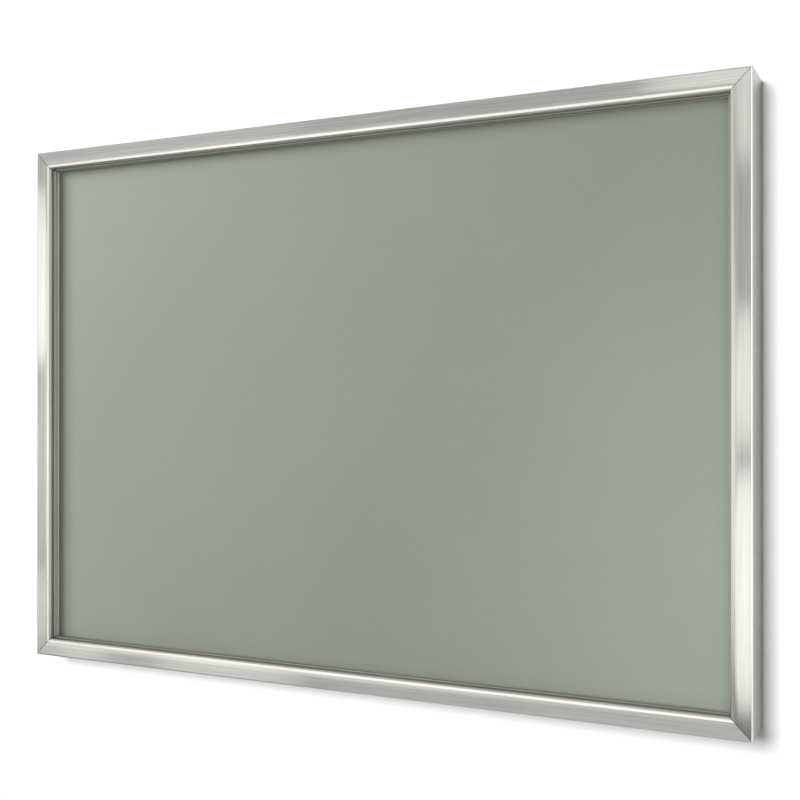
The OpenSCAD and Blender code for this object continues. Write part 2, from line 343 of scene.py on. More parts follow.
@dataclass(frozen=True)
class BrushedMetal(Finish):
    """Extruded metal brushed along its length, with streaks that follow the piece's UV map."""

    grain: Grain = Grain.LEVEL
    anisotropic: float = 0.85
    grazing: float = 0.7
    streak: float = 0.16
    streak_per_m: float = 900.0
    streak_length_per_m: float = 9.0
    fine_share: float = 0.65
    drift: float = 0.03
    drift_per_m: float = 4.0
    gloss_swing: float = 0.12
    relief: float = 0.00002

    def mix(self, bench: Bench) -> None:
        """Streaks are noise drawn out along U, fine and coarse, over a slow drift of tone.

        Args:
            bench: the bench of the material's nodes.
        """
        sewn = bench.sewn()
        along, across = self.streak_length_per_m, self.streak_per_m
        fine = bench.noise(bench.stretched(sewn, (along, across, 0.0)), 1.0, 3.0, 0.6)
        broad = bench.noise(bench.stretched(sewn, (along * 0.4, across * 0.22, 0.0)), 1.0, 2.0)
        drift = bench.noise(bench.stretched(sewn, (self.drift_per_m, 0.0, 0.0)), 1.0, 1.0)
        lines = fine * self.fine_share + broad * (1.0 - self.fine_share)
        tone = bench.about(lines, 1.0, self.streak)
        shade = tone * bench.about(drift, 1.0, self.drift)
        rough = bench.about(lines, self.roughness, self.roughness * self.gloss_swing)
        bench.skin(
            {
                "Base Color": bench.shaded(self.colour, shade),
                "Metallic": 1.0,
                "Roughness": rough,
                "Specular Tint": opaque(self.grazing, self.grazing, self.grazing),
                "Anisotropic": self.anisotropic,
                "Anisotropic Rotation": self.grain.value,
                "Normal": bench.bump(fine, 0.25, self.relief),
            }
        )


@dataclass(frozen=True)
class SageCork(Finish):
    """Smooth through-coloured cork: fused granules that hardly show, and a matt face."""

    granule_per_m: float = 620.0
    granule_swing: float = 0.016
    speck_per_m: float = 1500.0
    speck_swing: float = 0.02
    cloud_per_m: float = 5.0
    cloud_swing: float = 0.02
    gloss_swing: float = 0.05
    relief: float = 0.00006

    def mix(self, bench: Bench) -> None:
        """Granules are cells about 1.6 mm wide with tones of their own, under a slow cloud.

        Args:
            bench: the bench of the material's nodes.
        """
        place = bench.place()
        chip = bench.parts(bench.cells(place, self.granule_per_m, output="Color"))[0]
        seam = bench.cells(place, self.granule_per_m, "DISTANCE_TO_EDGE")
        speck = bench.noise(place, self.speck_per_m, 2.0, 0.6)
        cloud = bench.noise(place, self.cloud_per_m, 3.0, 0.55)
        shade = (
            bench.spread(chip, 0.0, 1.0, 1.0 - self.granule_swing, 1.0 + self.granule_swing)
            * bench.about(cloud, 1.0, self.cloud_swing)
            * bench.spread(speck, 0.25, 0.75, 1.0 - self.speck_swing, 1.0 + self.speck_swing)
        )
        relief = bench.spread(seam, 0.0, 0.12, 0.0, 0.6) + speck * 0.4
        bench.skin(
            {
                "Base Color": bench.shaded(self.colour, shade),
                "Roughness": bench.about(speck, self.roughness, self.gloss_swing),
                "Specular IOR Level": 0.25,
                "Normal": bench.bump(relief, 0.35, self.relief),
            }
        )


@dataclass(frozen=True)
class Hardboard(Finish):
    """Brown pressed board with the print of the wire mesh that it was pressed on."""

    mesh_per_m: float = 520.0
    fibre_per_m: float = 340.0
    patch_per_m: float = 9.0
    patch_swing: float = 0.1
    fibre_shade: float = 0.72
    gloss_swing: float = 0.08
    relief: float = 0.00025

    def mix(self, bench: Bench) -> None:
        """The mesh print is the product of sines of X and Z; fibres are drawn-out noise.

        Args:
            bench: the bench of the material's nodes.
        """
        place = bench.place()
        x, _, z = bench.parts(place)
        turn = self.mesh_per_m * 2 * math.pi
        print_height = (x * turn).through("SINE") * (z * turn).through("SINE") * 0.5 + 0.5
        drawn_out = bench.stretched(place, (1.0, 1.0, 0.35))
        fibre = bench.noise(drawn_out, self.fibre_per_m, 4.0, 0.65)
        patch = bench.noise(place, self.patch_per_m, 3.0)
        dark = bench.shaded(self.colour, self.fibre_shade)
        tone = bench.blend(bench.spread(fibre, 0.35, 0.65, 0.0, 1.0), dark, opaque(*self.colour))
        shade = bench.about(patch, 1.0, self.patch_swing) * (print_height * 0.16 + 0.92)
        bench.skin(
            {
                "Base Color": bench.shaded(tone, shade),
                "Roughness": bench.about(fibre, self.roughness, self.gloss_swing),
                "Normal": bench.bump(print_height * 0.7 + fibre * 0.3, 0.5, self.relief),
            }
        )


@dataclass(frozen=True)
class PlanedPine(Finish):
    """Planed softwood with its grain along X."""

    rings_per_m: float = 210.0
    pith_depth: float = 0.09
    pith_squash: float = 0.42
    waviness: float = 0.05
    late_shade: float = 0.58
    relief: float = 0.0002

    def mix(self, bench: Bench) -> None:
        """Growth rings are a saw of the distance from a wavy pith line along X.

        Args:
            bench: the bench of the material's nodes.
        """
        place = bench.place()
        wander = bench.noise(bench.stretched(place, (1.4, 9.0, 9.0)), 1.0, 2.0)
        _, y, z = bench.parts(place)
        depth = y + self.pith_depth
        reach = (depth * depth + (z * self.pith_squash) * (z * self.pith_squash)) ** 0.5
        ring = ((reach + wander * self.waviness) * self.rings_per_m).through("FRACT")
        late = bench.spread(ring, 0.45, 0.97, 0.0, 1.0)
        fibre = bench.noise(bench.stretched(place, (22.0, 1500.0, 1500.0)), 1.0, 3.0, 0.6)
        pore = bench.spread(fibre, 0.52, 0.72, 0.0, 0.35)
        dark = bench.shaded(self.colour, self.late_shade)
        tone = bench.blend(late * 0.62, opaque(*self.colour), dark)
        bench.skin(
            {
                "Base Color": bench.shaded(tone, 1.0 - pore * 0.5),
                "Roughness": bench.spread(
                    late, 0.0, 1.0, self.roughness + 0.05, self.roughness - 0.08
                ),
                "Normal": bench.bump(fibre * 0.7 - late * 0.3, 0.3, self.relief),
            }
        )


@dataclass(frozen=True)
class PlatedSteel(Finish):
    """Zinc plated or galvanised steel: crystals of a few millimetres over a cloudy ground."""

    crystal_per_m: float = 170.0
    contrast: float = 0.12
    warp_per_m: float = 260.0
    cloud_per_m: float = 30.0
    gloss_swing: float = 0.2
    relief: float = 0.0002

    def mix(self, bench: Bench) -> None:
        """Each crystal is a cell with its own tone and gloss; thin wear marks cross them.

        Args:
            bench: the bench of the material's nodes.
        """
        place = bench.place()
        warp = bench.noise(place, self.warp_per_m, 2.0)
        bent = bench.wire("ShaderNodeVectorMath", {"operation": "ADD"}, {0: place, 1: warp * 0.002})
        crystal = bench.parts(bench.cells(bent, self.crystal_per_m, output="Color"))[0]
        cloud = bench.noise(place, self.cloud_per_m, 3.0, 0.6)
        wear = bench.noise(bench.stretched(place, (40.0, 900.0, 60.0)), 1.0, 3.0)
        scuff = bench.spread(wear, 0.6, 0.7, 0.0, 1.0)
        shade = bench.spread(crystal, 0.0, 1.0, 1.0 - self.contrast, 1.0 + self.contrast)
        tone = shade * bench.about(cloud, 0.99, 0.06) * (1.0 - scuff * 0.12)
        swing = self.roughness * self.gloss_swing
        bench.skin(
            {
                "Base Color": bench.shaded(self.colour, tone),
                "Metallic": 1.0,
                "Roughness": bench.spread(
                    crystal, 0.0, 1.0, self.roughness - swing, self.roughness + swing
                ),
                "Normal": bench.bump(cloud, 0.1, self.relief),
            }
        )


@dataclass(frozen=True)
class JuteWeave(Finish):
    """Open plain weave: yarns over and under each other."""

    yarn_per_m: float = 480.0
    hair_per_m: float = 700.0
    relief: float = 0.0003

    def mix(self, bench: Bench) -> None:
        """Warp and weft are sines of X and Z, on top by turns like a chessboard's squares.

        Args:
            bench: the bench of the material's nodes.
        """
        place = bench.place()
        x, _, z = bench.parts(place)
        turn = self.yarn_per_m * math.pi
        warp = (x * turn).through("SINE").through("ABSOLUTE")
        weft = (z * turn).through("SINE").through("ABSOLUTE")
        turns = (x * self.yarn_per_m).through("FLOOR") + (z * self.yarn_per_m).through("FLOOR")
        over = (turns * 0.5).through("FRACT") * 2.0
        height = warp * over + weft * (1.0 - over)
        yarn = bench.noise(place, self.hair_per_m, 2.0)
        shade = bench.spread(height, 0.1, 0.9, 0.55, 1.1) * bench.about(yarn, 0.99, 0.11)
        bench.skin(
            {
                "Base Color": bench.shaded(self.colour, shade),
                "Roughness": self.roughness,
                "Normal": bench.bump(height, 0.6, self.relief),
            }
        )


@dataclass(frozen=True)
class Granular(Finish):
    """A dull material with a fine grain, such as soft fibre board or rubber."""

    grain_per_m: float = 500.0
    contrast: float = 0.2
    relief: float = 0.0002
    patch_width: float = 30.0
    patch_swing: float = 0.06
    gloss_swing: float = 0.06

    def mix(self, bench: Bench) -> None:
        """Two sizes of noise give the grain and the patches.

        Args:
            bench: the bench of the material's nodes.
        """
        place = bench.place()
        fine = bench.noise(place, self.grain_per_m, 4.0, 0.65)
        patch = bench.noise(place, self.grain_per_m / self.patch_width, 2.0)
        shade = bench.about(fine, 1.0, self.contrast)
        shade = shade * bench.about(patch, 1.0, self.patch_swing)
        bench.skin(
            {
                "Base Color": bench.shaded(self.colour, shade),
                "Roughness": bench.about(fine, self.roughness, self.gloss_swing),
                "Normal": bench.bump(fine, 0.4, self.relief),
            }
        )


METAL = (0.655, 0.652, 0.61)
LEVEL_METAL = BrushedMetal("brushed_frame_level", METAL, 0.15, Grain.LEVEL)
UPRIGHT_METAL = BrushedMetal("brushed_frame_upright", METAL, 0.15, Grain.UPRIGHT)
# The liner is one metal in two copies: the level copy is darker, painted shade, and the upright
# copy lighter, painted light.
LEVEL_LINER_PAINTED_SHADE = BrushedMetal(
    "brushed_liner_level", (0.5, 0.49, 0.465), 0.3, Grain.LEVEL, anisotropic=0.8, grazing=0.85
)
UPRIGHT_LINER_PAINTED_LIGHT = BrushedMetal(
    "brushed_liner_upright", (0.8, 0.79, 0.75), 0.5, Grain.UPRIGHT, anisotropic=0.7, grazing=1.0
)
CORK = SageCork("sage_cork", (0.33, 0.37, 0.306), 0.85)
JUTE = JuteWeave("jute_weave", (0.45, 0.34, 0.20), 0.9)
CORE = Granular("soft_fibre_core", (0.48, 0.38, 0.25), 0.9)
BACKING = Hardboard("brown_hardboard", (0.25, 0.135, 0.066), 0.5)
PINE = PlanedPine("planed_pine", (0.62, 0.43, 0.235), 0.52)
KEY_STEEL = PlatedSteel("zinc_keys", (0.56, 0.57, 0.59), 0.34, 420.0, 0.06)
BLACK_STEEL = PlatedSteel("blackened_steel", (0.09, 0.09, 0.095), 0.36, 900.0, 0.1)
SPRING_STEEL = PlatedSteel("spring_steel", (0.44, 0.45, 0.47), 0.24, 900.0, 0.05)
CLIP_STEEL = PlatedSteel("galvanised_clips", (0.58, 0.6, 0.62), 0.36)
YELLOW_ZINC = PlatedSteel("yellow_zinc_screws", (0.66, 0.5, 0.22), 0.28, 700.0, 0.08)
RUBBER = Granular("black_rubber", (0.03, 0.03, 0.03), 0.75, 900.0, 0.25, 0.0001)


# ---------- surfaces as arrays ----------


# Brushing turns about the middle of a mesh's texture space: this far-off one makes it run along X
LEVEL_BRUSHING = ((0.0, 1.0, 0.0), (1000.0, 1.0, 1.0))


@dataclass
class Surface:
    """A mesh as arrays: places, faces and, where wanted, normals and UV places by face corner."""

    places: np.ndarray
    faces: list
    normals: np.ndarray | None = None
    uv: np.ndarray | None = None
    level_run: bool = False

    def as_piece(self, name: str, finish: bpy.types.Material) -> bpy.types.Object:
        """Puts the surface into a mesh object at the origin.

        Args:
            name: the piece's name.
            finish: its material.

        Returns:
            The object.
        """
        mesh = bpy.data.meshes.new(name)
        mesh.from_pydata(self.places.tolist(), [], self.faces)
        mesh.materials.append(finish)
        mesh.shade_smooth()
        if self.uv is not None:
            run = mesh.uv_layers.new(name="run")
            run.data.foreach_set("uv", self.uv.astype(np.float32).ravel())
        if self.normals is not None:
            mesh.normals_split_custom_set(self.normals)
        if self.level_run:
            mesh.use_auto_texspace = False
            mesh.texspace_location, mesh.texspace_size = LEVEL_BRUSHING
        piece = bpy.data.objects.new(name, mesh)
        bpy.context.scene.collection.objects.link(piece)
        return piece


def strips(rows: int, columns: int, closed: bool) -> np.ndarray:
    """The quads of a grid of points.

    Args:
        rows: how many rows of points there are.
        columns: how many points each row has.
        closed: whether the last point of a row joins the first.

    Returns:
        An array of quads, four point numbers each, that turn from the columns to the rows.
    """
    row = np.arange(rows - 1)[:, None] * columns
    step = np.arange(columns if closed else columns - 1)
    after = (step + 1) % columns
    corners = (row + step, row + after, row + columns + after, row + columns + step)
    return np.stack(corners, axis=-1).reshape(-1, 4)


@dataclass(frozen=True)
class Outline:
    """A closed outline in p and q, with the outward normal and the length run at each point."""

    places: np.ndarray
    normals: np.ndarray
    lengths: np.ndarray

    @classmethod
    def rounded(cls, corners: list[tuple[float, float, float]], steps: int = 6) -> "Outline":
        """Rounds the corners of a polygon, all at once.

        A round of radius r starts r / tan(half the corner's angle) from the corner, along both
        sides, about a centre on the bisector r / sin(half the angle) away; its points turn evenly.

        Args:
            corners: p, q and radius of each corner, anticlockwise.
            steps: how many steps each round has.

        Returns:
            The outline.
        """
        table = np.array(corners)
        corner, radius = table[:, :2], table[:, 2:3]
        back = np.roll(corner, 1, axis=0) - corner
        onward = np.roll(corner, -1, axis=0) - corner
        turn = back[:, 1] * onward[:, 0] - back[:, 0] * onward[:, 1]
        back /= np.linalg.norm(back, axis=1, keepdims=True)
        onward /= np.linalg.norm(onward, axis=1, keepdims=True)
        half = np.arccos(np.clip((back * onward).sum(1, keepdims=True), -1.0, 1.0)) / 2
        bisector = back + onward
        bisector /= np.linalg.norm(bisector, axis=1, keepdims=True)
        centre = corner + bisector * radius / np.sin(half)
        start = (corner + back * radius / np.tan(half) - centre) / radius
        end = (corner + onward * radius / np.tan(half) - centre) / radius
        share = np.linspace(0.0, 1.0, steps + 1)[None, :, None]
        sweep = (math.pi - 2 * half)[:, None]
        spoke = np.sin((1 - share) * sweep) * start[:, None] + np.sin(share * sweep) * end[:, None]
        spoke /= np.sin(sweep)
        places = (centre[:, None] + spoke * radius[:, None]).reshape(-1, 2)
        normals = (spoke * np.sign(turn)[:, None, None]).reshape(-1, 2)
        gaps = np.linalg.norm(np.roll(places, -1, axis=0) - places, axis=1)
        return cls(places, normals, np.concatenate([[0.0], np.cumsum(gaps)]))


class Side(Enum):
    """The four sides of the frame, by the turn about Y that carries the top side to each."""

    TOP = 0
    RIGHT = 90
    BOTTOM = 180
    LEFT = -90

    @property
    def label(self) -> str:
        """The side's name as the CAD nodes have it."""
        return self.name.lower()

    @property
    def level(self) -> bool:
        """Whether the side runs level."""
        return self in (Side.TOP, Side.BOTTOM)

    def turned(self, vectors: np.ndarray) -> np.ndarray:
        """Turns vectors that were worked out for the top side round to this one.

        Args:
            vectors: rows of X, Y and Z.

        Returns:
            The turned rows.
        """
        angle = math.radians(self.value)
        cos, sin = round(math.cos(angle)), round(math.sin(angle))
        x, y, z = np.moveaxis(vectors, -1, 0)
        return np.stack([x * cos + z * sin, y, z * cos - x * sin], axis=-1)


@dataclass(frozen=True)
class BoardBox:
    """The whole board as packed: its width and height, and the depth from its face to its back."""

    width: float
    height: float
    front: float
    back: float

    @classmethod
    def packed(cls) -> "BoardBox":
        """Reads the box from the four rails.

        Returns:
            The board's box.
        """
        left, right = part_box("left_rail"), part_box("right_rail")
        low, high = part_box("bottom_rail")[0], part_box("top_rail")[1]
        return cls(right[1].x - left[0].x, high.z - low.z, low.y, high.y)


@dataclass(frozen=True)
class Mitre:
    """How the ends of a rail are cut: the gap at the joint and the broken edge."""

    gap: float = 0.2 * MM
    edge: float = 0.22 * MM
    edge_run: float = 1.5

    def carry(self, outline: Outline, side: Side, board: BoardBox, seed: float) -> Surface:
        """Carries an outline along one side of the frame and cuts both ends at 45 degrees.

        At distance p from the outer side the half length is half the run less p and the gap's
        share. The end rings are drawn in by the broken edge, so that the joint shows a fine line.

        Args:
            outline: the section in p and q.
            side: the side of the frame.
            board: the whole board.
            seed: an offset along U that gives each piece its own streaks.

        Returns:
            The surface, with normals and UV places.
        """
        run, across = board.width, board.height
        if not side.level:
            run, across = across, run
        end = np.array([-1.0, -1.0, 1.0, 1.0])[:, None]
        inset = np.array([1.0, 0.0, 0.0, 1.0])[:, None] * self.edge
        fall = (self.edge - inset) * self.edge_run
        p = outline.places[None, :, 0] - outline.normals[None, :, 0] * inset
        q = outline.places[None, :, 1] - outline.normals[None, :, 1] * inset
        x = end * (run / 2 - self.gap / math.sqrt(2) - p - fall)
        places = np.stack([x, board.front + q, across / 2 - p], axis=-1)
        count = len(outline.places)
        quads = strips(len(end), count, closed=True)
        step = quads[:, 0] % count
        flat = np.stack([np.zeros(count), outline.normals[:, 1], -outline.normals[:, 0]], axis=-1)
        smooth = flat[quads % count]
        ring = quads[:, 0] // count
        lean = (ring == len(end) - 2).astype(float) - (ring == 0)
        smooth[..., 0] += lean[:, None]
        smooth /= np.linalg.norm(smooth, axis=-1, keepdims=True)
        first, last = outline.lengths[step], outline.lengths[step + 1]
        around = np.stack([first, last, last, first], axis=-1)
        along = x.reshape(-1)[quads] + seed
        cap_uv = outline.places + seed
        faces = quads.tolist() + [list(range(count))[::-1], list(range(3 * count, 4 * count))]
        cap = np.zeros((count, 3)) + [1.0, 0.0, 0.0]
        normals = np.concatenate([smooth.reshape(-1, 3), -cap, cap])
        side_uv = np.stack([along, around], axis=-1).reshape(-1, 2)
        uv = np.concatenate([side_uv, cap_uv[::-1], cap_uv])
        turned = side.turned(places.reshape(-1, 3))
        return Surface(turned, faces, side.turned(normals), uv, side.level)


def slab_surface(low: Vector, high: Vector, cell: float, dip: float) -> Surface:
    """A closed slab whose face towards -Y dips slightly in and out of flat.

    Face and back are grids of the same points in X and Z; round the rim, strips join them. The
    face lies at the slab's front plus dip times a sum of two long sines that runs from 0 to 1.

    Args:
        low: the slab's lowest corner.
        high: its highest corner.
        cell: the size of a grid cell.
        dip: how far the face may lie behind flat.

    Returns:
        The surface.
    """
    columns, rows = (round((high[k] - low[k]) / cell) + 1 for k in (0, 2))
    x, z = np.meshgrid(np.linspace(low.x, high.x, columns), np.linspace(low.z, high.z, rows))
    wave = np.sin(x * 11.0 + z * 4.0) + np.sin(z * 14.0 - x * 5.0 + 1.3)
    front = low.y + dip * (wave + 2.0) / 4.0
    face = np.stack([x, front, z], axis=-1).reshape(-1, 3)
    rear = np.stack([x, np.full_like(x, high.y), z], axis=-1).reshape(-1, 3)
    quads = strips(rows, columns, closed=False)
    number = np.arange(rows * columns).reshape(rows, columns)
    rim = np.concatenate([number[0, :-1], number[:-1, -1], number[-1, :0:-1], number[:0:-1, 0]])
    onward = np.roll(rim, -1)
    count = rows * columns
    sides = np.stack([onward, rim, rim + count, onward + count], axis=-1)
    faces = np.concatenate([quads, quads[:, ::-1] + count, sides])
    return Surface(np.concatenate([face, rear]), faces.tolist())


# ---------- frame and liner ----------


# How far apart along U the four sides' streaks start, and the slot of each kind of piece
SEED_STEP = 3.0
METAL_SLOTS = {"rail": "frame_metal", "liner": "liner_metal"}


def four_sides(
    kind: str,
    section: Outline,
    mitre: Mitre,
    board: BoardBox,
    finishes: tuple[Finish, Finish],
    seed: float,
) -> list[bpy.types.Object]:
    """Carries one section along all four sides of the frame and dresses the pieces.

    Args:
        kind: what the CAD nodes call such a piece, after the side.
        section: its outline.
        mitre: how its ends are cut.
        board: the whole board.
        finishes: the finish of the level sides, and that of the upright ones.
        seed: the first side's offset along U.

    Returns:
        The four pieces.
    """
    level, upright = (finish.made() for finish in finishes)
    pieces = []
    for number, side in enumerate(Side):
        surface = mitre.carry(section, side, board, seed + SEED_STEP * number)
        piece = surface.as_piece(f"brushed_{side.label}_{kind}", level if side.level else upright)
        settle(piece, BOARD, METAL_SLOTS[kind], f"{side.label}_{kind}")
        pieces.append(piece)
    return pieces


@dataclass
class FrameRails:
    """The four rails: crowned face with a bevel, round nose, groove rib and key channel."""

    board: BoardBox
    face: float = 22.0 * MM
    wall: float = 1.6 * MM
    nose: float = 6.0 * MM
    outer_round: float = 2.0 * MM
    inner_round: float = 3.2 * MM
    crown: tuple[float, float, float] = (14.0 * MM, 0.0, 60.0 * MM)
    bevel: tuple[float, float, float] = (17.0 * MM, 0.21 * MM, 6.0 * MM)
    bevel_drop: float = 1.37 * MM
    groove: float = 1.5 * MM
    groove_in: float = 3.0 * MM
    channel: float = 14.0 * MM
    channel_reach: float = 20.0 * MM
    slot: float = 5.6 * MM
    edge: float = 0.2 * MM
    mitre: Mitre = field(default_factory=Mitre)

    def outline(self) -> Outline:
        """The section, anticlockwise from the outer front edge.

        Returns:
            The outline.
        """
        depth, wall, edge = self.board.back - self.board.front, self.wall, self.edge
        rib, rib_end = self.face - self.groove_in, self.nose + self.groove
        start = depth - self.channel
        reach, lip = self.channel_reach, (self.channel_reach - self.slot) / 2
        plain = [
            (self.face, self.nose),
            (rib, self.nose),
            (rib, rib_end),
            (rib - wall, rib_end),
            (rib - wall, self.nose),
            (wall, self.nose),
            (wall, start),
            (reach, start),
            (reach, depth),
            (reach - lip, depth),
            (reach - lip, depth - wall),
            (reach - wall, depth - wall),
            (reach - wall, start + wall),
            (wall, start + wall),
            (wall, depth - wall),
            (lip, depth - wall),
            (lip, depth),
            (0.0, depth),
        ]
        rounds = [
            (0.0, 0.0, self.outer_round),
            self.crown,
            self.bevel,
            (self.face, self.bevel_drop, self.inner_round),
        ]
        return Outline.rounded(rounds + [(p, q, edge) for p, q in plain], 10)

    def build(self) -> list[bpy.types.Object]:
        """Makes the four rails and dresses them."""
        finishes = (LEVEL_METAL, UPRIGHT_METAL)
        return four_sides("rail", self.outline(), self.mitre, self.board, finishes, 0.0)


@dataclass
class Liner:
    """The liner behind the nose: flange, wall beside the cork, and a foot with a bead on it."""

    board: BoardBox
    flange_start: float = 1.8 * MM
    front: float = 7.5 * MM
    reach: float = 23.7 * MM
    wall: float = 1.2 * MM
    foot: float = 9.0 * MM
    recess: float = 15.0 * MM
    bead: float = 0.8 * MM
    edge: float = 0.2 * MM
    lip_round: float = 0.5 * MM
    seed: float = 20.0
    mitre: Mitre = field(default_factory=Mitre)

    def outline(self) -> Outline:
        """The section, anticlockwise from the flange's front edge; two rounds make the bead.

        Returns:
            The outline.
        """
        reach, wall, recess, edge = self.reach, self.wall, self.recess, self.edge
        bead_top, bead_end, round_bead = recess - 2 * self.bead, reach + self.bead, 0.98 * self.bead
        return Outline.rounded(
            [
                (self.flange_start, self.front, edge),
                (reach, self.front, self.lip_round),
                (reach, bead_top, 0.01 * self.bead),
                (bead_end, bead_top, round_bead),
                (bead_end, recess, round_bead),
                (reach - self.foot, recess, edge),
                (reach - self.foot, recess - wall, edge),
                (reach - wall, recess - wall, edge),
                (reach - wall, self.front + wall, edge),
                (self.flange_start, self.front + wall, edge),
            ],
            8,
        )

    def build(self) -> list[bpy.types.Object]:
        """Makes the four liners and dresses them."""
        # Level liners get the darker copy, painted shade; upright liners the lighter copy, painted
        # light.
        finishes = (LEVEL_LINER_PAINTED_SHADE, UPRIGHT_LINER_PAINTED_LIGHT)
        return four_sides("liner", self.outline(), self.mitre, self.board, finishes, self.seed)


# ---------- panel ----------


@dataclass
class Panel:
    """Cork on jute, on a soft fibre core, with a hardboard back."""

    cell: float = 5.0 * MM
    dip: float = 0.04 * MM

    def build(self) -> bpy.types.Object:
        """Makes the cork sheet and dresses the layers behind it.

        Returns:
            The cork sheet.
        """
        low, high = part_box("cork_sheet")
        cork = slab_surface(low, high, self.cell, self.dip).as_piece("sage_cork_sheet", CORK.made())
        settle(cork, BOARD, "sage_cork", "cork_sheet")
        dress(JUTE, "jute_backing")
        dress(CORE, "core_board")
        dress(BACKING, "back_sheet")
        return cork


# ---------- screws ----------


@dataclass(frozen=True)
class WoodScrew:
    """A countersunk wood screw with a cross recess, driven in towards -Y."""

    head_radius: float
    shank_radius: float
    length: float
    cone: float = 1.4 * MM
    tip: float = 2.0 * MM
    pitch: float = 1.6 * MM
    thread: float = 0.35 * MM
    recess_arm: float = 1.9 * MM
    recess_half: float = 0.42 * MM
    recess_depth: float = 0.95 * MM
    thread_start: float = 0.4
    centre: float = 0.06
    face_rings: int = 26
    tip_rings: int = 6
    columns: int = 48

    def surface(self, x: float, z: float, face: float) -> Surface:
        """One screw as a closed surface of revolution.

        Each ring has a radius and a depth below the head's face. On the face, the depth grows by
        the recess where a point lies in one of two crossed arms. On the shank, the radius shrinks
        by the thread times a triangle wave of depth over pitch less the turn.

        Args:
            x: the axis's place.
            z: the axis's height.
            face: Y of the head's face.

        Returns:
            The surface.
        """
        flat = np.linspace(self.centre, 1.0, self.face_rings) * self.head_radius
        shank = np.arange(self.cone, self.length - self.tip, self.pitch / 6)
        left = 1 - np.linspace(0.0, 0.9, self.tip_rings)
        straight = np.full(len(shank), self.shank_radius)
        radius = np.concatenate([flat, straight, self.shank_radius * left])
        depth = np.concatenate([np.zeros(len(flat)), shank, self.length - self.tip * left])
        turn = np.linspace(0.0, 2 * math.pi, self.columns, endpoint=False)[None, :]
        radius, depth = radius[:, None], depth[:, None]
        across, up = np.abs(radius * np.cos(turn)), np.abs(radius * np.sin(turn))
        inner, outer = np.minimum(across, up), np.maximum(across, up)
        soft = self.recess_half / 2
        arm = np.clip((self.recess_half - inner) / soft + 0.5, 0, 1)
        arm *= np.clip((self.recess_arm - outer) / soft, 0, 1)
        on_face = depth < self.cone / 2
        wave = np.abs((depth / self.pitch - turn / (2 * math.pi)) % 1.0 - 0.5) * 2
        on_thread = depth > self.length * self.thread_start
        radius = radius - np.where(on_thread, wave * self.thread * radius / self.shank_radius, 0.0)
        depth = depth + np.where(on_face, arm * self.recess_depth, 0.0)
        ring_x, ring_z = x + radius * np.cos(turn), z + radius * np.sin(turn)
        rings = np.stack([ring_x, face - depth, ring_z], axis=-1)
        poles = np.array([[x, face - self.recess_depth, z], [x, face - self.length, z]])
        rows, count = len(rings), self.columns
        step = np.arange(count)
        after = (step + 1) % count
        first, last = rows * count, rows * count + 1
        end = first - count
        head_fan = np.stack([step, after, np.full(count, first)], axis=-1)
        tip_fan = np.stack([after + end, step + end, np.full(count, last)], axis=-1)
        faces = [*strips(rows, count, closed=True).tolist(), *head_fan.tolist(), *tip_fan.tolist()]
        return Surface(np.concatenate([rings.reshape(-1, 3), poles]), faces)

    def row_of(self, axes: list[tuple[float, float]], face: float) -> Surface:
        """Puts the same screw on several axes, as one surface.

        Args:
            axes: X and Z of each axis.
            face: Y of the heads' faces.

        Returns:
            The surface.
        """
        screws = [self.surface(x, z, face) for x, z in axes]
        step = len(screws[0].places)
        faces = [[v + step * n for v in f] for n, screw in enumerate(screws) for f in screw.faces]
        return Surface(np.concatenate([screw.places for screw in screws]), faces)


# ---------- what holds the board together and hangs it ----------


@dataclass
class HangingGear:
    """What hangs the board and holds it together: battens, clips, screws, keys and springs."""

    batten_screw_inset: float = 39.0 * MM
    batten_screws_each: int = 4
    clip_screw_pitch: float = 34.0 * MM
    batten_screw: WoodScrew = WoodScrew(3.8 * MM, 2.0 * MM, 25.0 * MM)
    clip_screw: WoodScrew = WoodScrew(3.4 * MM, 1.75 * MM, 13.0 * MM, recess_arm=1.7 * MM)

    def rows(self, node: str, head_radius: float) -> tuple[float, float]:
        """The heights of the upper and the lower row of screws in a node."""
        low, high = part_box(node)
        return high.z - head_radius, low.z + head_radius

    def batten_axes(self) -> list[tuple[float, float]]:
        """The axes of the screws that hold the battens.

        Returns:
            X and Z of each axis.
        """
        low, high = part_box("top_batten")
        inset = self.batten_screw_inset
        across = np.linspace(low.x + inset, high.x - inset, self.batten_screws_each)
        heights = self.rows("batten_screws", self.batten_screw.head_radius)
        return [(x, z) for z in heights for x in across]

    def clip_axes(self) -> list[tuple[float, float]]:
        """The axes of the screws that hold the clips, two to a clip.

        Returns:
            X and Z of each axis.
        """
        upper, lower = self.rows("clip_screws", self.clip_screw.head_radius)
        axes = []
        for level, z in (("top", upper), ("bottom", lower)):
            for side in ("left", "right"):
                low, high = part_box(f"board_clip_{level}_{side}")
                middle = (low.x + high.x) / 2
                axes += [(middle + k * self.clip_screw_pitch / 2, z) for k in (-1, 1)]
        return axes

    def build(self) -> list[bpy.types.Object]:
        """Makes the screws and dresses everything else.

        Returns:
            The new pieces.
        """
        zinc = YELLOW_ZINC.made()
        pieces = []
        for node, screw, axes in (
            ("batten_screws", self.batten_screw, self.batten_axes()),
            ("clip_screws", self.clip_screw, self.clip_axes()),
        ):
            piece = screw.row_of(axes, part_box(node)[1].y).as_piece(f"cross_{node}", zinc)
            settle(piece, BOARD, "yellow_screw", node)
            pieces.append(piece)
        corners = [f"{level}_{side}" for level in ("top", "bottom") for side in ("left", "right")]
        dress(PINE, "top_batten", "bottom_batten")
        for finish, kinds in (
            (CLIP_STEEL, ("board_clip", "wall_clip")),
            (KEY_STEEL, ("nose_key", "lock_key")),
        ):
            dress(finish, *[f"{kind}_{corner}" for kind in kinds for corner in corners])
        dress(BLACK_STEEL, "set_screws")
        dress(SPRING_STEEL, "spring_clips")
        dress(RUBBER, "bumpers")
        return pieces


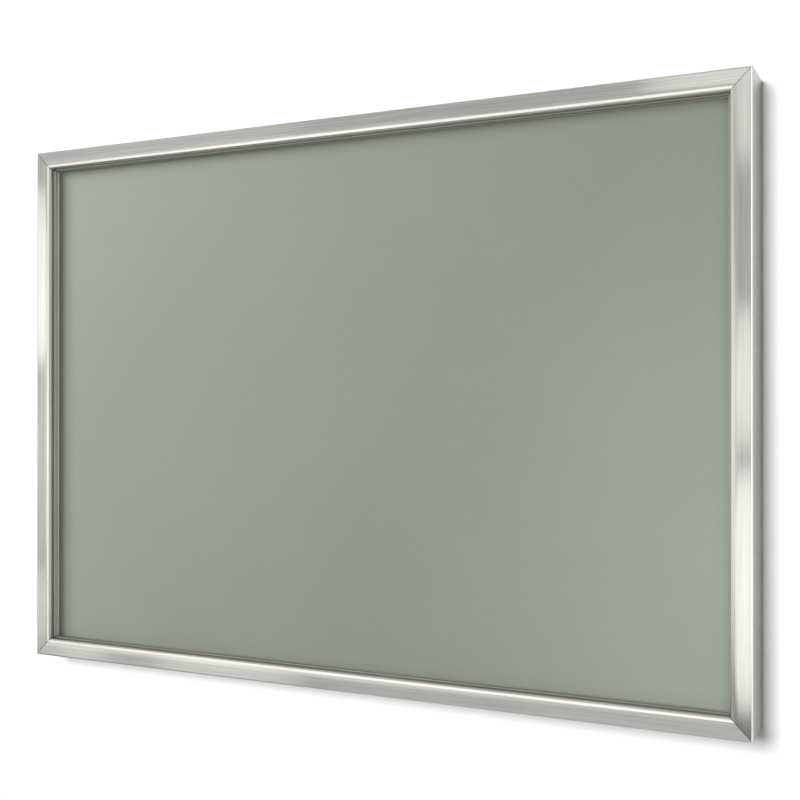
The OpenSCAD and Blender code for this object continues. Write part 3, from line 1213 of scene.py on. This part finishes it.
def settle(piece: bpy.types.Object, body: str, slot: str, *nodes: str) -> None:
    """Makes a new piece ride on its body and stand for its CAD nodes.

    Args:
        piece: the new piece.
        body: the body that carries it.
        slot: not used.
        nodes: the CAD nodes that it stands for.
    """
    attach(piece, body)
    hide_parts(*nodes)
    log.info("%s stands for %s, %d faces", piece.name, ", ".join(nodes), len(piece.data.polygons))


def dress(finish: Finish, *nodes: str) -> None:
    """Gives CAD nodes that stay a finish of their own.

    Args:
        finish: the finish.
        nodes: the CAD nodes.
    """
    material = finish.made()
    for name in nodes:
        mesh = frame["nodes"][name].data
        mesh.materials.clear()
        mesh.materials.append(material)
    log.info("%s dresses %s", finish.name, ", ".join(nodes))


# ---------- camera, lamps and room ----------


@dataclass
class Viewpoint:
    """The camera, where the photograph's corners put it, and the rays through its picture."""

    place: Vector = field(default_factory=lambda: Vector((0.62169, -1.18877, 0.00158)))
    turn_left: float = 25.878
    tilt_up: float = 0.119
    lens: float = 51.97
    sensor: float = 36.0
    shift: tuple[float, float] = (0.0, 0.0)

    def build(self) -> bpy.types.Object:
        """Makes the camera.

        Returns:
            The camera, which is also the scene's.
        """
        data = bpy.data.cameras.new("viewpoint")
        data.sensor_fit = "AUTO"
        data.sensor_width, data.lens = self.sensor, self.lens
        data.shift_x, data.shift_y = self.shift
        data.dof.use_dof = False
        camera = bpy.data.objects.new("viewpoint", data)
        camera.location = self.place
        camera.rotation_euler = self.turns()
        bpy.context.scene.collection.objects.link(camera)
        bpy.context.scene.camera = camera
        return camera

    def turns(self) -> tuple[float, float, float]:
        """The camera's turns about X, Y and Z."""
        return math.radians(90 + self.tilt_up), 0.0, math.radians(self.turn_left)

    def axes(self) -> Matrix:
        """The camera's own axes as columns, in the row frame."""
        level = Matrix.Rotation(self.turns()[2], 3, "Z")
        return level @ Matrix.Rotation(self.turns()[0], 3, "X")

    def ray(self, point: tuple[float, float]) -> Vector:
        """The direction of the ray through a place in the picture.

        Args:
            point: how far right and how far down the place is.

        Returns:
            The direction, of length 1.
        """
        right = point[0] - PHOTO_SIDE / 2 + self.shift[0] * PHOTO_SIDE
        up = PHOTO_SIDE / 2 - point[1] + self.shift[1] * PHOTO_SIDE
        ahead = -PHOTO_SIDE * self.lens / self.sensor
        return (self.axes() @ Vector((right, up, ahead))).normalized()

    def meet(self, point: tuple[float, float], carrier: bpy.types.Object) -> tuple[Vector, Vector]:
        """Where the ray through a place in the picture meets a finished piece.

        Args:
            point: the place in the picture.
            carrier: the piece.

        Returns:
            The place met, or for a miss the place nearest the ray, and the normal there.
        """
        tree = BVHTree.FromObject(carrier, bpy.context.evaluated_depsgraph_get())
        ray = self.ray(point)
        hit, normal, _, _ = tree.ray_cast(self.place, ray)
        if hit is None:
            places = finished(carrier)
            away = places - np.array(self.place)
            along = away @ np.array(ray)
            miss = np.linalg.norm(away - along[:, None] * np.array(ray), axis=1)
            hit, normal, _, _ = tree.find_nearest(Vector(places[miss.argmin()]))
        return hit, normal

    def shown(self, places: np.ndarray) -> np.ndarray:
        """Where places in the row frame show in the picture.

        Args:
            places: rows of X, Y and Z.

        Returns:
            Rows of how far right and how far down.
        """
        seen = (places - np.array(self.place)) @ np.array(self.axes())
        scale = PHOTO_SIDE * self.lens / self.sensor / -seen[:, 2:3]
        middle = np.array([PHOTO_SIDE / 2, PHOTO_SIDE / 2])
        shifted = np.array(self.shift) * [PHOTO_SIDE, -PHOTO_SIDE]
        return middle + seen[:, :2] * scale * [1.0, -1.0] - shifted


def finished(piece: bpy.types.Object) -> np.ndarray:
    """The finished places of a piece's vertices, modifiers included, in the row frame.

    Args:
        piece: the piece.

    Returns:
        Rows of X, Y and Z.
    """
    shape = piece.evaluated_get(bpy.context.evaluated_depsgraph_get())
    flat = np.zeros(len(shape.data.vertices) * 3, np.float32)
    shape.data.vertices.foreach_get("co", flat)
    world = np.array(shape.matrix_world)
    return flat.reshape(-1, 3) @ world[:3, :3].T + world[:3, 3]


@dataclass(frozen=True)
class Softbox:
    """An area lamp that looks at a place."""

    name: str
    place: Vector
    aim: Vector
    size: float
    watts: float
    only_gloss: bool = False
    lights_metal: bool = True
    height: float = 0.0
    lights: bpy.types.Collection | None = None
    shape: str = "RECTANGLE"

    def build(self) -> bpy.types.Object:
        """Makes the lamp.

        Returns:
            The lamp.
        """
        data = bpy.data.lights.new(self.name, "AREA")
        data.shape = self.shape
        data.size, data.size_y = self.size, self.height or self.size
        data.energy = self.watts
        lamp = bpy.data.objects.new(self.name, data)
        lamp.location = self.place
        lamp.rotation_mode = "QUATERNION"
        lamp.rotation_quaternion = (self.aim - self.place).to_track_quat("-Z", "Y")
        lamp.visible_diffuse = not self.only_gloss
        lamp.visible_glossy = self.lights_metal
        lamp.visible_camera = False
        if self.lights:
            lamp.light_linking.receiver_collection = self.lights
        bpy.context.scene.collection.objects.link(lamp)
        return lamp


def gathered(name: str, *things: bpy.types.Object) -> bpy.types.Collection:
    """A collection of its own for things that a lamp is to light, or to leave out.

    Args:
        name: the collection's name.
        things: what goes into it.

    Returns:
        The collection.
    """
    group = bpy.data.collections.new(name)
    for thing in things:
        group.objects.link(thing)
    return group


@dataclass(frozen=True)
class Lamp:
    """A lamp that metal doesn't mirror: where it stands, and the X and Z it looks at."""

    name: str
    way: tuple[float, float, float]
    aim: tuple[float, float]
    size: float
    watts: float
    for_room: bool = False


@dataclass(frozen=True)
class Glint:
    """A small lamp that only the named sides' rails mirror, at a place in the picture."""

    point: str
    size: float
    watts: float
    sides: tuple[Side, ...]


@dataclass(frozen=True)
class Strip:
    """A lamp that one side's rail alone mirrors, by turn, rise and distance from that rail."""

    name: str
    side: Side
    way: tuple[float, float, float]
    width: float
    height: float
    watts: float


@dataclass
class Studio:
    """The white wall that the board hangs on, the floor, the soft light and the lamps."""

    board: BoardBox
    view: Viewpoint
    wall_reach: float = 4.0
    wall_hole_inset: float = 1.0 * MM
    floor_height: float = -1.3
    floor_tone: tuple[float, float, float] = (0.45, 0.45, 0.44)
    floor_roughness: float = 0.8
    wall_tone: float = 0.9
    wall_glow: float = 0.02
    soft_ahead: float = 0.14
    soft_behind: float = 0.6
    soft_turn: float = 0.3
    band_middle: tuple[float, float, float] = (-0.5, -0.87, -0.02)
    band_radii: tuple[float, float, float] = (0.34, 1.6, 0.2)
    mirrored_middle: float = 1.3
    mirrored_edge: float = 0.66
    mirrored_far: float = 0.85
    panel_rims: tuple[float, float] = (0.25, 1.0)
    far_rims: tuple[float, float] = (1.2, 3.0)
    glint_away: float = 1.6
    lamps: tuple[Lamp, ...] = (
        Lamp("key", (-53, 26, 2.66), (0.0, 0.0), 1.4, 80.0),
        Lamp("fill", (42.5, -13, 0.7), (0.9, -0.36), 0.4, 0.96),
        Lamp("front", (37.3, 0, 2.5), (0.06, 0.0), 1.6, 13.2),
        Lamp("wall_wash", (-2.4, 12.3, 3.07), (0.0, 0.0), 1.12, 111.0, for_room=True),
    )
    glints: tuple[Glint, ...] = (
        Glint("glint_left", 0.46, 0.5, (Side.LEFT,)),
        Glint("glint_bottom_corner", 0.34, 0.13, (Side.LEFT, Side.BOTTOM)),
        Glint("glint_bottom", 0.6, 0.25, (Side.BOTTOM,)),
        Glint("glint_right_low", 0.56, 0.75, (Side.RIGHT,)),
        Glint("glint_right_middle", 0.34, 0.22, (Side.RIGHT,)),
        Glint("glint_top_corner", 0.4, 0.2, (Side.TOP, Side.RIGHT)),
    )
    strips: tuple[Strip, ...] = (
        Strip("top_bevel", Side.TOP, (-28, -13.0, 2.5), 2.9, 0.48, 5.2),
        Strip("bottom_bevel", Side.BOTTOM, (-28, 13.0, 2.5), 2.9, 0.48, 5.6),
        Strip("bottom_face", Side.BOTTOM, (-14, -24.0, 1.5), 1.7, 1.0, 1.2),
        Strip("top_face", Side.TOP, (-46, 14.0, 1.8), 0.9, 0.8, 0.3),
        Strip("left_face", Side.LEFT, (-42, 24.0, 1.75), 0.6, 0.34, 0.09),
        Strip("left_bevel", Side.LEFT, (-17, 0, 2.2), 0.3, 1.8, 1.9),
        Strip("right_nose", Side.RIGHT, (-62, 0, 1.6), 2.2, 2.0, 3.7),
        Strip("right_edge", Side.RIGHT, (46, 0, 2.2), 1.5, 2.6, 25.0),
    )

    def seen(self, bench: Bench, *names: str) -> Wire:
        """One for rays of the named kinds that no dull surface has scattered, nought for others.

        Args:
            bench: the bench that the nodes go on.
            names: the kinds of ray.

        Returns:
            The share.
        """
        path = bench.node("ShaderNodeLightPath")
        total = Wire(bench, path.outputs[f"Is {names[0]} Ray"])
        for name in names[1:]:
            total = total.larger(Wire(bench, path.outputs[f"Is {name} Ray"]))
        scattered = Wire(bench, path.outputs["Diffuse Depth"]).smaller(1.0)
        return total * (1.0 - scattered)

    def wall(self) -> bpy.types.Object:
        """A ring in the wall's plane, open behind the board, that is clear when seen from behind.

        Returns:
            The wall.
        """
        hole = np.array([self.board.width, self.board.height]) / 2 - self.wall_hole_inset
        square = np.array([[-1, -1], [1, -1], [1, 1], [-1, 1]])
        rings = np.concatenate([square * self.wall_reach, square * hole])
        places = np.stack([rings[:, 0], np.zeros(len(rings)), rings[:, 1]], axis=-1)
        faces = strips(2, len(square), closed=True).tolist()
        material = bpy.data.materials.new("white_wall")
        bench = Bench(material)
        tone = self.wall_tone
        paint = bench.wire("ShaderNodeBsdfDiffuse", inputs={"Color": opaque(tone, tone, tone)})
        strength = self.seen(bench, "Camera", "Glossy", "Transmission") * self.wall_glow
        glow = bench.wire("ShaderNodeEmission", inputs={"Strength": strength})
        lit = bench.wire("ShaderNodeAddShader", inputs={0: paint, 1: glow})
        behind = bench.wire("ShaderNodeNewGeometry", output="Backfacing")
        clear = bench.wire("ShaderNodeBsdfTransparent")
        bench.close(bench.wire("ShaderNodeMixShader", inputs={0: behind, 1: lit, 2: clear}))
        wall = Surface(places, faces).as_piece("white_wall", material)
        wall.visible_diffuse = False
        wall.visible_shadow = False
        return wall

    def floor(self) -> bpy.types.Object:
        """A pale floor below the board, in front of the wall.

        Returns:
            The floor.
        """
        reach = self.wall_reach
        corners = ((-reach, -reach), (reach, -reach), (reach, 0.0), (-reach, 0.0))
        places = np.array([(x, y, self.floor_height) for x, y in corners])
        material = bpy.data.materials.new("pale_floor")
        looks = {"Base Color": opaque(*self.floor_tone), "Roughness": self.floor_roughness}
        Bench(material).skin(looks)
        return Surface(places, [[0, 1, 2, 3]]).as_piece("pale_floor", material)

    def sky(self) -> None:
        """Soft light, white where it shows, with a long panel for the metal to mirror.

        The panel lies about the way in which the board mirrors the camera. How far a direction lies
        from its middle, in its radii along X, Y and Z, gives its share: one at the panel's rim.
        """
        world = bpy.data.worlds.new("studio")
        bpy.context.scene.world = world
        bench = Bench(world)
        way = bench.wire("ShaderNodeTexCoord", output="Generated")
        by = tuple(1 / radius for radius in self.band_radii)
        shift = tuple(-middle / radius for middle, radius in zip(self.band_middle, self.band_radii))
        from_middle = {0: bench.stretched(way, by, shift)}
        share = bench.wire("ShaderNodeVectorMath", {"operation": "LENGTH"}, from_middle, "Value")
        panel = bench.spread(share, *self.panel_rims, self.mirrored_middle, self.mirrored_edge)
        far = self.mirrored_far - self.mirrored_edge
        beyond = bench.spread(share, *self.far_rims, 0.0, far)
        ahead, behind = self.soft_ahead, self.soft_behind
        soft = bench.spread(bench.parts(way)[1], 0.0, self.soft_turn, ahead, behind)
        shown = self.seen(bench, "Camera", "Transmission")
        gloss = self.seen(bench, "Glossy")
        strength = soft + (1.0 - soft) * shown + (panel + beyond - soft) * gloss
        light = bench.wire("ShaderNodeBackground", inputs={"Strength": strength})
        bench.close(light, "ShaderNodeOutputWorld")

    def toward(self, turn: float, rise: float, away: float) -> Vector:
        """A place in front of the board.

        Args:
            turn: its turn to the right, in degrees.
            rise: its rise, in degrees.
            away: its distance.

        Returns:
            The place, from the origin.
        """
        turn, rise = math.radians(turn), math.radians(rise)
        flat = math.cos(rise)
        return Vector((math.sin(turn) * flat, -math.cos(turn) * flat, math.sin(rise))) * away

    def light(self, rails: dict[Side, bpy.types.Object], room: list[bpy.types.Object]) -> None:
        """Sets up the lamps: for dull surfaces, for the room alone, and for the rails to mirror.

        Args:
            rails: the finished rails by side.
            room: the wall and the floor.
        """
        only_room, no_room = gathered("only_room", *room), gathered("no_room", *room)
        for thing in no_room.collection_objects:
            thing.light_linking.link_state = "EXCLUDE"
        for lamp in self.lamps:
            aim = Vector((lamp.aim[0], self.board.front, lamp.aim[1]))
            lit = {"lights_metal": False, "lights": only_room if lamp.for_room else no_room}
            Softbox(lamp.name, self.toward(*lamp.way), aim, lamp.size, lamp.watts, **lit).build()
        for strip in self.strips:
            low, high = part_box(f"{strip.side.label}_rail")
            aim = (low + high) / 2
            place = aim + self.toward(*strip.way)
            lit = {"only_gloss": True, "lights": gathered(f"only_{strip.name}", rails[strip.side])}
            size = {"size": strip.width, "height": strip.height}
            Softbox(strip.name, place, aim, watts=strip.watts, **size, **lit).build()
        for glint in self.glints:
            carriers = [rails[side] for side in glint.sides]
            aim, normal = self.view.meet(POINTS[glint.point], carriers[0])
            ray = (aim - self.view.place).normalized()
            place = aim + (ray - 2 * ray.dot(normal) * normal) * self.glint_away
            lit = {"only_gloss": True, "lights": gathered(f"only_{glint.point}", *carriers)}
            size = {"size": glint.size, "shape": "ELLIPSE"}
            Softbox(glint.point, place, aim, watts=glint.watts, **size, **lit).build()

    def build(self, rails: dict[Side, bpy.types.Object]) -> None:
        """Sets up the room and its light.

        Args:
            rails: the finished rails by side.
        """
        room = [self.wall(), self.floor()]
        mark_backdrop(*room)
        self.sky()
        self.light(rails, room)
        bpy.context.scene.view_settings.view_transform = "Standard"


# ---------- where things show ----------


@dataclass(frozen=True)
class Landmark:
    """A place that a point in the picture names: a piece's vertex furthest along a direction."""

    piece: str
    toward: tuple[float, float, float]

    def place(self) -> np.ndarray:
        """The vertex's finished place."""
        places = finished(bpy.data.objects[self.piece])
        return places[(places @ np.array(self.toward)).argmax()]


LANDMARKS = {
    "corner_top_left": Landmark("brushed_left_rail", (-1.0, -1.0, 1.0)),
    "corner_bottom_left": Landmark("brushed_left_rail", (-1.0, -1.0, -1.0)),
    "corner_top_right": Landmark("brushed_right_rail", (1.0, -1.0, 1.0)),
    "corner_bottom_right": Landmark("brushed_right_rail", (1.0, -1.0, -1.0)),
    "back_top_right": Landmark("brushed_right_rail", (1.0, 1.0, 1.0)),
    "back_bottom_right": Landmark("brushed_right_rail", (1.0, 1.0, -1.0)),
    "nose_top_right": Landmark("brushed_right_rail", (-1.0, -0.05, 0.2)),
    "nose_bottom_right": Landmark("brushed_right_rail", (-1.0, -0.05, -0.2)),
    "cork_top_left": Landmark("brushed_left_liner", (1.0, 0.3, 0.2)),
    "cork_bottom_left": Landmark("brushed_left_liner", (1.0, 0.3, -0.2)),
}


def measured(view: Viewpoint) -> dict[str, list]:
    """How far each thing shows from its point in the picture.

    Args:
        view: the camera.

    Returns:
        By point, how far right and how far down of it the finished thing shows.
    """
    shown = view.shown(np.concatenate([finished(piece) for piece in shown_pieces()]))
    edges = {
        "left_edge": shown[:, 0].min(),
        "right_edge": shown[:, 0].max(),
        "top_edge": shown[:, 1].min(),
        "bottom_edge": shown[:, 1].max(),
    }
    carriers = {glint.point: f"brushed_{glint.sides[0].label}_rail" for glint in Studio.glints}
    found = {}
    for name, (x, y) in POINTS.items():
        if name in edges:
            off = edges[name] - (y if x is None else x)
            found[name] = [None, round(off, 2)] if x is None else [round(off, 2), None]
        else:
            if name in carriers:
                place = np.array(view.meet((x, y), bpy.data.objects[carriers[name]])[0])
            else:
                place = LANDMARKS[name].place()
            found[name] = np.round(view.shown(place[None])[0] - (x, y), 2).tolist()
    return found


def main() -> None:
    """Builds the board's looks and the room round it."""
    logging.basicConfig(level=logging.INFO, format="%(message)s")
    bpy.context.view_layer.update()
    view = Viewpoint()
    view.build()
    board = BoardBox.packed()
    rails = FrameRails(board).build()
    Liner(board).build()
    Panel().build()
    HangingGear().build()
    Studio(board, view).build(dict(zip(Side, rails)))
    measured(view)


if __name__ == "__main__":
    main()
